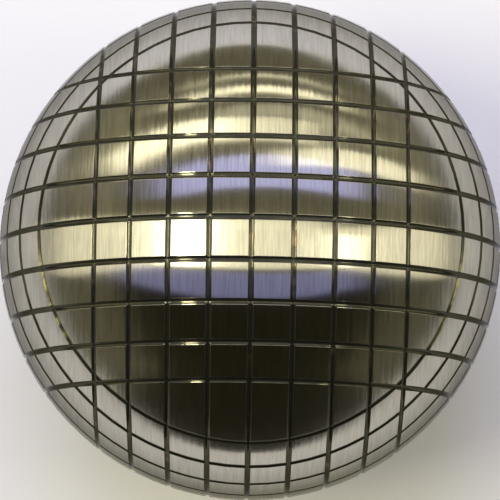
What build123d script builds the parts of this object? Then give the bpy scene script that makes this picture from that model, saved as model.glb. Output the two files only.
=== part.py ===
from build123d import *
from math import degrees
import os

# A petanque ball (boule): two pressed steel half shells, welded and turned
# into one sealed hollow ball. Three sets of striations are turned into it,
# each a set of parallel rings spaced evenly along the arc of the ball, one
# set about each of the axes X, Y and Z. Origin at the centre of the ball,
# +Z up. Lengths in millimetres, angles in degrees.

# ---- driving dimensions ----
ball_diameter = 73.0        # over the polished lands
cavity_diameter = 59.68     # sealed hollow inside, which leaves a 6.7 mm wall
groove_width = 0.75         # from wall to wall at the mouth
groove_pitch = 9.0          # arc from one striation to the next
grooves_per_set = 9         # the middle one is a great circle
depth_about_z = 0.16        # each set is turned in a chucking of its own,
depth_about_x = 0.18        # so their floors differ a little
depth_about_y = 0.20
tool_proud = 1.0            # how far the cutting section stands outside

ball_radius = ball_diameter / 2
cavity_radius = cavity_diameter / 2
half_angle = degrees(groove_width / 2 / ball_radius)
set_span = groove_pitch * (grooves_per_set - 1)

os.makedirs("parts", exist_ok=True)


def striation(depth):
    """Section of one striation on the local X axis: a wall on each side, square to the ball, and a floor that follows the ball."""
    with BuildSketch() as section:
        with BuildLine():
            floor = CenterArc((0, 0), ball_radius - depth, -half_angle, 2 * half_angle)
            mouth = CenterArc((0, 0), ball_radius + tool_proud, -half_angle, 2 * half_angle)
            Line(floor @ 0, mouth @ 0)
            Line(floor @ 1, mouth @ 1)
        make_face()
    return section.sketch


with BuildPart() as ball:
    # The welded shell: a half ring turned about Z closes the hollow in.
    with BuildSketch(Plane.XZ):
        with BuildLine():
            CenterArc((0, 0), ball_radius, -90, 180)
            Line((0, ball_radius), (0, cavity_radius))
            CenterArc((0, 0), cavity_radius, -90, 180)
            Line((0, -cavity_radius), (0, -ball_radius))
        make_face()
    revolve(axis=Axis.Z)

    # Level rings, about Z.
    with BuildSketch(Plane.XZ):
        with PolarLocations(0, grooves_per_set, start_angle=-set_span / 2,
                            angular_range=set_span, endpoint=True):
            add(striation(depth_about_z))
    revolve(axis=Axis.Z, mode=Mode.SUBTRACT, clean=False)

    # Upright rings about X.
    with BuildSketch(Plane.XY):
        with PolarLocations(0, grooves_per_set, start_angle=90 - set_span / 2,
                            angular_range=set_span, endpoint=True):
            add(striation(depth_about_x))
    revolve(axis=Axis.X, mode=Mode.SUBTRACT, clean=False)

    # Upright rings about Y.
    with BuildSketch(Plane.YZ):
        with PolarLocations(0, grooves_per_set, start_angle=90 - set_span / 2,
                            angular_range=set_span, endpoint=True):
            add(striation(depth_about_y))
    revolve(axis=Axis.Y, mode=Mode.SUBTRACT, clean=False)

ball.part.label = "ball"
export_step(ball.part, "parts/ball.step")

steel = ball.part.volume
print(f"steel {steel / 1000:.2f} cm3, {steel * 7.85e-6:.4f} kg at 7850 kg/m3")
print(f"solids {len(ball.part.solids())}, faces {len(ball.part.faces())}, valid {ball.part.is_valid}")
print("box", ball.part.bounding_box())
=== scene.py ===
import math

import bpy
import numpy as np
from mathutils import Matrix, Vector
from mathutils.geometry import delaunay_2d_cdt

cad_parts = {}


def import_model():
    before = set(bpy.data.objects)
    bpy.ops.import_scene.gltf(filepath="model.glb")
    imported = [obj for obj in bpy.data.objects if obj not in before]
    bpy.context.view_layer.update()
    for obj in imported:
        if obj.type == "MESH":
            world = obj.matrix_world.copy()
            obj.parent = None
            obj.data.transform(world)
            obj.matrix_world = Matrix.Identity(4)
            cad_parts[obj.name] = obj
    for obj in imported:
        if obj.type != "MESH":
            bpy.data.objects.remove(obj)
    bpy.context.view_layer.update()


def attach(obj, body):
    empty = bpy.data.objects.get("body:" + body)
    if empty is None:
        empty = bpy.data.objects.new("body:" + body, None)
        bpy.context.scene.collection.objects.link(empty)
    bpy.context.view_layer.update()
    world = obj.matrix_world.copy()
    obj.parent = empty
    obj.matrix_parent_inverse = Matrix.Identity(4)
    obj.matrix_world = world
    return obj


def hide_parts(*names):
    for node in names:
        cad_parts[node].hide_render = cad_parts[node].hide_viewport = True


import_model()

# ---------------------------------------------------------------- dimensions
MM = 0.001
R = 36.5                    # radius over the polished lands, mm
PITCH = math.radians(9.0)   # arc between neighbouring striations
SETS = 4                    # striations each side of the middle one
DEPTH = (0.18, 0.20, 0.16)  # floor depth of the sets about X, Y and Z, mm
# Half section of one striation: distance from its middle line, and depth as a
# share of the floor depth. A dished floor, steep walls and a broken lip.
PROFILE = ((0.0, 1.0), (0.06, 0.975), (0.20, 0.78), (0.325, 0.52), (0.38, 0.20), (0.42, 0.045), (0.465, 0.0))
STEP = 3.0                  # longest edge along a line, mm
ROUGH = 0.155


def profile_slopes(depth):
    s = [p[0] for p in PROFILE]
    d = [p[1] * depth for p in PROFILE]
    tilt = [math.atan2(d[i + 1] - d[i], s[i + 1] - s[i]) for i in range(len(s) - 1)]
    mid = [0.0] + [0.5 * (tilt[i] + tilt[i + 1]) for i in range(len(tilt) - 1)] + [0.0]
    return np.array(s), np.array(d), np.tan(np.array(mid))


SECTION = [profile_slopes(d) for d in DEPTH]


def depth_and_slope(P):
    """Depth below the ball and its gradient along the surface, for unit vectors P. Crossing striations blend over a small radius."""
    n = len(P)
    each, slopes, ways = [], [], []
    for f in range(3):
        lat = np.arcsin(np.clip(P[:, f], -1, 1))
        k = np.clip(np.round(lat / PITCH), -SETS, SETS)
        off = (lat - k * PITCH) * R
        s, d, t = SECTION[f]
        a = np.abs(off)
        each.append(np.interp(a, s, d))
        slopes.append(np.interp(a, s, t) * np.sign(off))
        axis = np.zeros(3)
        axis[f] = 1
        way = axis - P * P[:, f:f + 1]
        ways.append(way / np.maximum(np.linalg.norm(way, axis=1, keepdims=True), 1e-9))
    each, slopes = np.array(each), np.array(slopes)
    top = each.max(axis=0)
    w = np.exp((each - top) / 0.02)
    w /= w.sum(axis=0)
    grad = sum((w[f] * slopes[f])[:, None] * ways[f] for f in range(3))
    return top, grad


def line_angles():
    """Latitudes of the lines that the mesh follows in one set, in one octant."""
    out = []
    for k in range(SETS + 1):
        for s, _ in PROFILE:
            if k == 0:
                out.append(s / R)
            elif s > 0:
                out += [k * PITCH - s / R, k * PITCH + s / R]
    for k in range(SETS):
        out.append((k + 0.5) * PITCH)
    return sorted(out)


def octant():
    """Unit vectors and triangles of the octant x, y, z >= 0, its edges along every line of the three sets."""
    lines = line_angles()
    sines = [math.sin(a) for a in lines]
    points, index = [], {}

    def put(key, p):
        if key not in index:
            index[key] = len(points)
            points.append(p)
        return index[key]

    on = {(f, i): [] for f in range(3) for i in range(len(lines))}
    for f in range(3):
        g, h = (f + 1) % 3, (f + 2) % 3
        for i, u in enumerate(sines):
            for j, v in enumerate(sines):
                left = 1 - u * u - v * v
                if left < 0:
                    continue
                p = [0.0, 0.0, 0.0]
                p[f], p[g], p[h] = u, v, math.sqrt(left)
                # a point on two lines keeps the same key whichever set is asked
                at = put((f, i, g, j), p)
                on[(f, i)].append(at)
                on[(g, j)].append(at)
    edges = set()
    for (f, i), members in on.items():
        g, h = (f + 1) % 3, (f + 2) % 3
        a = lines[i]
        ring = sorted({(math.atan2(points[m][h], points[m][g]), m) for m in members})
        # the ends of the line, on the octant's edges
        chain = []
        for t, m in ring:
            if chain and t - chain[-1][0] < 1e-7:
                continue
            chain.append((t, m))
        full = []
        for (t0, m0), (t1, m1) in zip(chain, chain[1:]):
            full.append(m0)
            gap = (t1 - t0) * math.cos(a) * R
            n = int(math.ceil(gap / STEP))
            for q in range(1, n):
                t = t0 + (t1 - t0) * q / n
                p = [0.0, 0.0, 0.0]
                p[f] = sines[i]
                p[g], p[h] = math.cos(a) * math.cos(t), math.cos(a) * math.sin(t)
                full.append(put((f, i, "t", round(t, 9)), p))
        full.append(chain[-1][1])
        for m0, m1 in zip(full, full[1:]):
            if m0 != m1:
                edges.add((min(m0, m1), max(m0, m1)))
    P = np.array(points)
    n = np.ones(3) / math.sqrt(3)
    e1 = np.array([1, -1, 0]) / math.sqrt(2)
    e2 = np.cross(n, e1)
    flat = np.stack([P @ e1, P @ e2], 1) / (1 + P @ n)[:, None]
    made = delaunay_2d_cdt([Vector(p) for p in flat.tolist()], sorted(edges), [], 0, 1e-9)
    verts, tris, origin = made[0], made[2], made[3]
    out = np.zeros((len(verts), 3))
    new = 0
    for i, v in enumerate(verts):
        if origin[i]:
            out[i] = P[origin[i][0]]
        else:
            new += 1
            a, b = v
            k = a * a + b * b
            q = (2 * a * e1 + 2 * b * e2 + (1 - k) * n) / (1 + k)
            out[i] = q / np.linalg.norm(q)
    faces = []
    for t in tris:
        for q in range(1, len(t) - 1):
            faces.append((t[0], t[q], t[q + 1]))
    faces = np.array(faces)
    return out, faces, (len(points), len(edges), new)


def ball_mesh():
    P, F, facts = octant()
    # drop slivers that lie wholly on the octant's rim
    a, b, c = P[F[:, 0]], P[F[:, 1]], P[F[:, 2]]
    area = 0.5 * np.linalg.norm(np.cross(b - a, c - a), axis=1) * R * R
    F = F[area > 1e-9]
    a, b, c = P[F[:, 0]], P[F[:, 1]], P[F[:, 2]]
    turned = (np.cross(b - a, c - a) * a).sum(1) < 0
    F[turned] = F[turned][:, ::-1]
    allP, allF, base = [], [], 0
    for sx in (1, -1):
        for sy in (1, -1):
            for sz in (1, -1):
                s = np.array([sx, sy, sz])
                allP.append(P * s)
                f = F if sx * sy * sz > 0 else F[:, ::-1]
                allF.append(f + base)
                base += len(P)
    P, F = np.concatenate(allP), np.concatenate(allF)
    key = np.round(P * 1e8).astype(np.int64) + 0
    _, first, back = np.unique(key, axis=0, return_index=True, return_inverse=True)
    back = back.reshape(-1)
    P, F = P[first], back[F]
    F = F[(F[:, 0] != F[:, 1]) & (F[:, 1] != F[:, 2]) & (F[:, 0] != F[:, 2])]
    depth, grad = depth_and_slope(P)
    N = P + grad
    N /= np.linalg.norm(N, axis=1, keepdims=True)
    V = P * (R - depth)[:, None]
    me = bpy.data.meshes.new("ball_surface")
    me.vertices.add(len(V))
    me.vertices.foreach_set("co", (V * MM).astype(np.float32).ravel())
    me.loops.add(len(F) * 3)
    me.loops.foreach_set("vertex_index", F.astype(np.int32).ravel())
    me.polygons.add(len(F))
    me.polygons.foreach_set("loop_start", np.arange(0, len(F) * 3, 3, dtype=np.int32))
    me.polygons.foreach_set("use_smooth", np.ones(len(F), bool))
    me.update(calc_edges=True)
    me.validate()
    # six faces of a cube, unfolded on a 3 by 2 sheet, for whoever paints it
    mid = P[F].mean(1)
    side = np.abs(mid).argmax(1)
    sign = np.sign(mid[np.arange(len(mid)), side])
    uv = np.zeros((len(F), 3, 2))
    for f in range(3):
        g, h = (f + 1) % 3, (f + 2) % 3
        for s in (1, -1):
            m = (side == f) & (sign == s)
            q = P[F[m]]
            u = np.arctan2(q[..., g], np.abs(q[..., f])) / (math.pi / 2) * 0.94 + 0.5
            v = np.arctan2(q[..., h], np.abs(q[..., f])) / (math.pi / 2) * 0.94 + 0.5
            uv[m, :, 0] = ((u if s > 0 else 1 - u) + f) / 3
            uv[m, :, 1] = (v + (0 if s > 0 else 1)) / 2
    layer = me.uv_layers.new(name="OFBake")
    layer.data.foreach_set("uv", uv.astype(np.float32).ravel())
    me.normals_split_custom_set_from_vertices(N.astype(np.float32).tolist())
    print("ball mesh", facts, "verts", len(P), "tris", len(F))
    return me


ball = bpy.data.objects.new("ball_finished", ball_mesh())
bpy.context.scene.collection.objects.link(ball)
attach(ball, "root")
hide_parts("ball")


# ---------------------------------------------------------------- materials
class Nodes:
    """Short names for building a node tree."""

    def __init__(self, tree):
        self.t = tree

    def new(self, kind, **props):
        n = self.t.nodes.new(kind)
        for k, v in props.items():
            setattr(n, k, v)
        return n

    def link(self, a, b):
        self.t.links.new(a, b)

    def put(self, socket, value):
        if hasattr(value, "is_output") or isinstance(value, bpy.types.NodeSocket):
            self.link(value, socket)
        else:
            socket.default_value = value

    def math(self, op, a, b=None, c=None, clamp=False):
        n = self.new("ShaderNodeMath", operation=op, use_clamp=clamp)
        self.put(n.inputs[0], a)
        if b is not None:
            self.put(n.inputs[1], b)
        if c is not None:
            self.put(n.inputs[2], c)
        return n.outputs[0]

    def vec(self, op, a, b=None, out=0):
        n = self.new("ShaderNodeVectorMath", operation=op)
        self.put(n.inputs[0], a)
        if b is not None:
            if op == "SCALE":
                self.put(n.inputs[3], b)
            else:
                self.put(n.inputs[1], b)
        return n.outputs[out]

    def combine(self, x, y, z):
        n = self.new("ShaderNodeCombineXYZ")
        for s, v in zip(n.inputs, (x, y, z)):
            self.put(s, v)
        return n.outputs[0]

    def separate(self, v):
        n = self.new("ShaderNodeSeparateXYZ")
        self.put(n.inputs[0], v)
        return n.outputs

    def noise(self, vector, scale=1.0, detail=2.0, rough=0.5, distort=0.0):
        n = self.new("ShaderNodeTexNoise")
        self.put(n.inputs["Vector"], vector)
        n.inputs["Scale"].default_value = scale
        n.inputs["Detail"].default_value = detail
        n.inputs["Roughness"].default_value = rough
        n.inputs["Distortion"].default_value = distort
        return n.outputs[0]

    def remap(self, v, a, b, c=0.0, d=1.0, smooth=True):
        n = self.new("ShaderNodeMapRange", interpolation_type="SMOOTHSTEP" if smooth else "LINEAR")
        self.put(n.inputs["Value"], v)
        for name, x in (("From Min", a), ("From Max", b), ("To Min", c), ("To Max", d)):
            self.put(n.inputs[name], x)
        return n.outputs[0]

    def mix(self, fac, a, b):
        n = self.new("ShaderNodeMix", data_type="RGBA")
        self.put(n.inputs[0], fac)
        self.put(n.inputs[6], a)
        self.put(n.inputs[7], b)
        return n.outputs[2]

    def pick(self, fac, a, b):
        n = self.new("ShaderNodeMix", data_type="VECTOR")
        self.put(n.inputs[0], fac)
        self.put(n.inputs[4], a)
        self.put(n.inputs[5], b)
        return n.outputs[1]


def steel():
    m = bpy.data.materials.new("turned_steel")
    m.use_nodes = True
    t = m.node_tree
    t.nodes.clear()
    N = Nodes(t)
    out = N.new("ShaderNodeOutputMaterial")
    bsdf = N.new("ShaderNodeBsdfPrincipled")
    N.link(bsdf.outputs[0], out.inputs[0])

    place = N.new("ShaderNodeTexCoord").outputs["Object"]
    x, y, z = N.separate(place)
    radius = N.vec("LENGTH", place, out=1)

    # distance from the nearest striation of one set, mm
    def off(c):
        k = N.math("DIVIDE", N.math("ARCSINE", N.math("DIVIDE", c, radius)), PITCH)
        near = N.math("ROUND", k)
        away = N.math("MULTIPLY", N.math("ABSOLUTE", N.math("SUBTRACT", k, near)), PITCH * R)
        outside = N.math("GREATER_THAN", N.math("ABSOLUTE", near), SETS + 0.5)
        return N.math("ADD", away, N.math("MULTIPLY", outside, 10.0))

    off_x, off_y, off_z = off(x), off(y), off(z)
    nearest = N.math("MINIMUM", off_x, N.math("MINIMUM", off_y, off_z))
    lip = N.remap(nearest, 0.410, 0.460, 1.0, 0.0)
    groove = N.remap(nearest, 0.366, 0.416, 1.0, 0.0)
    bottom = N.remap(nearest, 0.26, 0.345, 1.0, 0.0)
    in_x = N.math("LESS_THAN", off_x, 0.465)
    in_y = N.math("LESS_THAN", off_y, 0.465)
    in_z = N.math("LESS_THAN", off_z, 0.465)
    crossed = N.math("MAXIMUM", in_y, in_z)
    about_y = N.math("MULTIPLY", in_y, N.math("SUBTRACT", 1.0, in_x))
    about_z = N.math("MULTIPLY", in_z, N.math("SUBTRACT", 1.0, N.math("MAXIMUM", in_x, in_y)))

    # the lathe's lines are circles about X
    rho = N.math("SQRT", N.math("ADD", N.math("MULTIPLY", y, y), N.math("MULTIPLY", z, z)))
    cy, cz = N.math("DIVIDE", y, rho), N.math("DIVIDE", z, rho)

    def lathe(fx, along, seed=0.0, **k):
        v = N.combine(N.math("MULTIPLY", x, fx), N.math("MULTIPLY_ADD", cy, along, seed), N.math("MULTIPLY", cz, along))
        return N.noise(v, **k)

    fine = lathe(3600.0, 6.0, 3.1, detail=2.0, rough=0.6)
    across = lathe(3000.0, 4.0, 27.0, detail=2.0, rough=0.6)
    tilt_along = N.math("MULTIPLY", N.math("SUBTRACT", fine, 0.5), 0.014)
    tilt_across = N.math("MULTIPLY", N.math("SUBTRACT", across, 0.5), 0.115)

    geo = N.new("ShaderNodeNewGeometry")
    normal = geo.outputs["Normal"]
    turn = N.new("ShaderNodeVectorTransform", vector_type="VECTOR", convert_from="OBJECT", convert_to="WORLD")
    N.link(N.combine(0.0, N.math("MULTIPLY", z, -1.0), y), turn.inputs[0])
    T = N.vec("NORMALIZE", turn.outputs[0])
    B = N.vec("NORMALIZE", N.vec("CROSS_PRODUCT", normal, T))
    calm = N.math("SUBTRACT", 1.0, N.math("MULTIPLY", groove, 0.7))
    bent = N.vec("ADD", normal, N.vec("ADD", N.vec("SCALE", T, N.math("MULTIPLY", tilt_along, calm)),
                                      N.vec("SCALE", B, N.math("MULTIPLY", tilt_across, calm))))
    N.link(N.vec("NORMALIZE", bent), bsdf.inputs["Normal"])

    # tool marks run round X on the lands, and along each striation
    def around(axis):
        return N.new("ShaderNodeTangent", direction_type="RADIAL", axis=axis).outputs[0]

    tangent = N.pick(about_z, N.pick(about_y, around("X"), around("Y")), around("Z"))
    N.link(tangent, bsdf.inputs["Tangent"])

    patch = N.noise(place, scale=90.0, detail=3.0, rough=0.55)
    tone = N.remap(N.math("ADD", N.math("MULTIPLY", patch, 0.25), N.math("MULTIPLY", fine, 0.75)), 0.34, 0.66, smooth=False)
    polished = N.mix(tone, (0.455, 0.438, 0.383, 1), (0.600, 0.577, 0.508, 1))
    grime = N.noise(place, scale=520.0, detail=3.0, rough=0.65)
    stain = N.remap(N.noise(place, scale=150.0, detail=2.0, rough=0.5), 0.48, 0.62)
    dull = N.mix(grime, (0.22, 0.205, 0.150, 1), (0.42, 0.395, 0.300, 1))
    # striation walls: near-black colour, partly dirt and partly painted shade of the recess
    wall_dirt_and_shade = N.mix(grime, (0.014, 0.014, 0.009, 1), (0.034, 0.034, 0.023, 1))
    bed = N.mix(grime, (0.048, 0.048, 0.033, 1), (0.100, 0.098, 0.072, 1))
    scraped = N.mix(stain, (0.074, 0.072, 0.058, 1), (0.200, 0.150, 0.100, 1))
    open_x = N.math("MULTIPLY", N.math("MULTIPLY", in_x, N.math("SUBTRACT", 1.0, crossed)),
                    N.remap(grime, 0.44, 0.68))
    cut = N.mix(bottom, wall_dirt_and_shade, N.mix(open_x, bed, scraped))
    # a brassy arc low on each side of the ring striation nearest the top, where that ring mirrors the lamps: partly
    # wear, partly a painted glint
    height = N.math("DIVIDE", z, radius)
    across_ring = N.math("DIVIDE", y, radius)
    wear_and_glint_arc = N.math("MULTIPLY", N.remap(across_ring, -0.46, -0.40), N.remap(across_ring, -0.03, -0.16))
    wear_and_glint_arc = N.math("MULTIPLY", wear_and_glint_arc, N.math("COMPARE", height, math.sin(SETS * PITCH), 0.011))
    wear_and_glint_arc = N.math("MULTIPLY", wear_and_glint_arc, N.math("MULTIPLY", about_z, N.remap(x, 0.0, 0.02, 1.0, 0.55)))
    fleck = N.remap(N.noise(place, scale=700.0, detail=3.0, rough=0.6), 0.34, 0.62)
    brassy_wear_and_glint = N.math("MULTIPLY", wear_and_glint_arc, fleck)
    # brighter brassy colour in the arc, partly a painted glint
    cut = N.mix(brassy_wear_and_glint, cut, (0.38, 0.35, 0.16, 1))
    N.link(N.mix(groove, N.mix(lip, polished, dull), cut), bsdf.inputs["Base Color"])
    # old dirt in the striations half hides the metal, less so on their floors, which lets the walls' near-black colour
    # show: dirt and painted shade of the recess
    hidden = N.math("MULTIPLY", groove, N.math("SUBTRACT", 0.55, N.math("MULTIPLY", bottom, 0.42)))
    hidden = N.math("MULTIPLY", hidden, N.math("SUBTRACT", 1.0, N.math("MULTIPLY", brassy_wear_and_glint, 0.8)))
    N.link(N.math("SUBTRACT", 1.0, hidden), bsdf.inputs["Metallic"])
    N.link(N.math("ADD", ROUGH, N.math("MULTIPLY", fine, 0.03)), bsdf.inputs["Roughness"])
    bsdf.inputs["Specular IOR Level"].default_value = 0.1
    bsdf.inputs["Anisotropic"].default_value = 1.0
    bsdf.inputs["Anisotropic Rotation"].default_value = 0.25
    bsdf.inputs["Specular Tint"].default_value = (0.35, 0.35, 0.34, 1)
    return m


ball.data.materials.append(steel())


# ---------------------------------------------------------------- stage
def floor():
    me = bpy.data.meshes.new("floor")
    z = -R * MM
    me.from_pydata([(-0.2, -0.17, z), (0.2, -0.17, z), (0.2, 0.4, z), (-0.2, 0.4, z)], [], [(0, 1, 2, 3)])
    o = bpy.data.objects.new("floor", me)
    bpy.context.scene.collection.objects.link(o)
    m = bpy.data.materials.new("pale_sheet")
    m.use_nodes = True
    t = m.node_tree
    t.nodes.clear()
    N = Nodes(t)
    sheet = N.new("ShaderNodeBsdfDiffuse")
    sheet.inputs[0].default_value = (0.80, 0.80, 0.80, 1)
    N.link(sheet.outputs[0], N.new("ShaderNodeOutputMaterial").inputs[0])
    me.materials.append(m)


floor()


def world():
    """A dim room round the sheet, with a pale backdrop behind the picture."""
    w = bpy.data.worlds.new("studio")
    bpy.context.scene.world = w
    w.use_nodes = True
    t = w.node_tree
    t.nodes.clear()
    N = Nodes(t)
    room = N.new("ShaderNodeBackground")
    room.inputs[0].default_value = (0.019, 0.017, 0.009, 1)
    backdrop = N.new("ShaderNodeBackground")
    backdrop.inputs[0].default_value = (0.96, 0.96, 0.96, 1)
    mix = N.new("ShaderNodeMixShader")
    N.link(N.new("ShaderNodeLightPath").outputs["Is Camera Ray"], mix.inputs[0])
    N.link(room.outputs[0], mix.inputs[1])
    N.link(backdrop.outputs[0], mix.inputs[2])
    N.link(mix.outputs[0], N.new("ShaderNodeOutputWorld").inputs[0])


world()


REACH = 2.5
WARM = (1.0, 0.95, 0.70)
DAYLIGHT = (0.50, 0.52, 1.0)
ROOM = (1.0, 0.92, 0.58)


def soft_box(name, lean, side, height, width, turn, level, tint, reach=REACH):
    """A soft light facing the ball, angles in degrees: lean from straight up towards +Y, side towards +X, its height and width seen from the ball, and the turn of its long side. level is its brightness, reach its distance."""
    th, sd = math.radians(lean), math.radians(side)
    d = Vector((math.sin(sd), math.cos(sd) * math.sin(th), math.cos(sd) * math.cos(th)))
    data = bpy.data.lights.new(name, "AREA")
    data.shape = "RECTANGLE"
    data.size = 2 * reach * math.tan(math.radians(width) / 2)
    data.size_y = 2 * reach * math.tan(math.radians(height) / 2)
    data.energy = level * math.pi * data.size * data.size_y
    data.color = tint
    o = bpy.data.objects.new(name, data)
    bpy.context.scene.collection.objects.link(o)
    z = d.normalized()
    xx = Vector((1, 0, 0)) - z * z.x
    xx.normalize()
    yy = z.cross(xx)
    c, s = math.cos(math.radians(turn)), math.sin(math.radians(turn))
    xx, yy = xx * c + yy * s, yy * c - xx * s
    m = o.matrix_world.copy()
    for i in range(3):
        m[i][0], m[i][1], m[i][2], m[i][3] = xx[i], yy[i], z[i], d[i] * reach
    o.matrix_world = m
    o.visible_camera = False
    return o


soft_box("overhead", -4, 0, 23, 70, 0, 1.3, WARM)
soft_box("overhead_far_left", -4, -66, 20, 66, 0, 1.1, WARM)
soft_box("overhead_far_right", -5.5, 66, 18, 66, 0, 1.2, WARM)
soft_box("overhead_left", -3, -29, 21, 5, 0, 34.0, WARM)
soft_box("overhead_right", -7, 43, 13, 5, 0, 8.0, WARM)
soft_box("back_left", 51.5, -33, 11.5, 48, -5, 2.6, WARM)
soft_box("back_middle", 49, 6, 12, 40, 4, 1.3, WARM)
soft_box("back_right", 45, 40, 8, 62, 21, 1.6, WARM)
soft_box("back_upper", 60, 16, 6, 66, 6, 0.55, WARM)
soft_box("back_low", 70, 2, 3.5, 62, 4, 2.4, WARM)
soft_box("back_lowest", 78, 2, 2, 50, 4, 1.2, WARM)
soft_box("fill_back", 28.5, 4, 15, 86, 3, 1.25, DAYLIGHT)
soft_box("fill_front", -23, -4, 12, 108, 0, 0.52, DAYLIGHT)
soft_box("fill_left", -5, -84, 100, 40, 0, 0.13, ROOM)
soft_box("fill_right", -5, 84, 100, 40, 0, 0.10, ROOM)
soft_box("back_wall", 52, 0, 100, 155, 0, 0.15, ROOM)
# a near light from behind for the sheet, not mirrored in the steel
soft_box("wash", 32, -7, 40, 40, 0, 3.6, DAYLIGHT, reach=0.41).visible_glossy = False


# ---------------------------------------------------------------- camera
def camera():
    data = bpy.data.cameras.new("view")
    data.sensor_width = 36.0
    data.lens = 214.7
    data.clip_start = 0.01
    o = bpy.data.objects.new("view", data)
    bpy.context.scene.collection.objects.link(o)
    to = Vector((-0.0055, -0.1239, 0.9923)).normalized()
    up = Vector((-0.0152, 0.9922, 0.1238))
    right = up.cross(to).normalized()
    up = to.cross(right)
    m = o.matrix_world.copy()
    at = to * (11.95 * R * MM)
    for i in range(3):
        m[i][0], m[i][1], m[i][2], m[i][3] = right[i], up[i], to[i], at[i]
    o.matrix_world = m
    bpy.context.scene.camera = o


camera()
bpy.context.scene.view_settings.view_transform = "Standard"
bpy.context.scene.view_settings.look = "None"
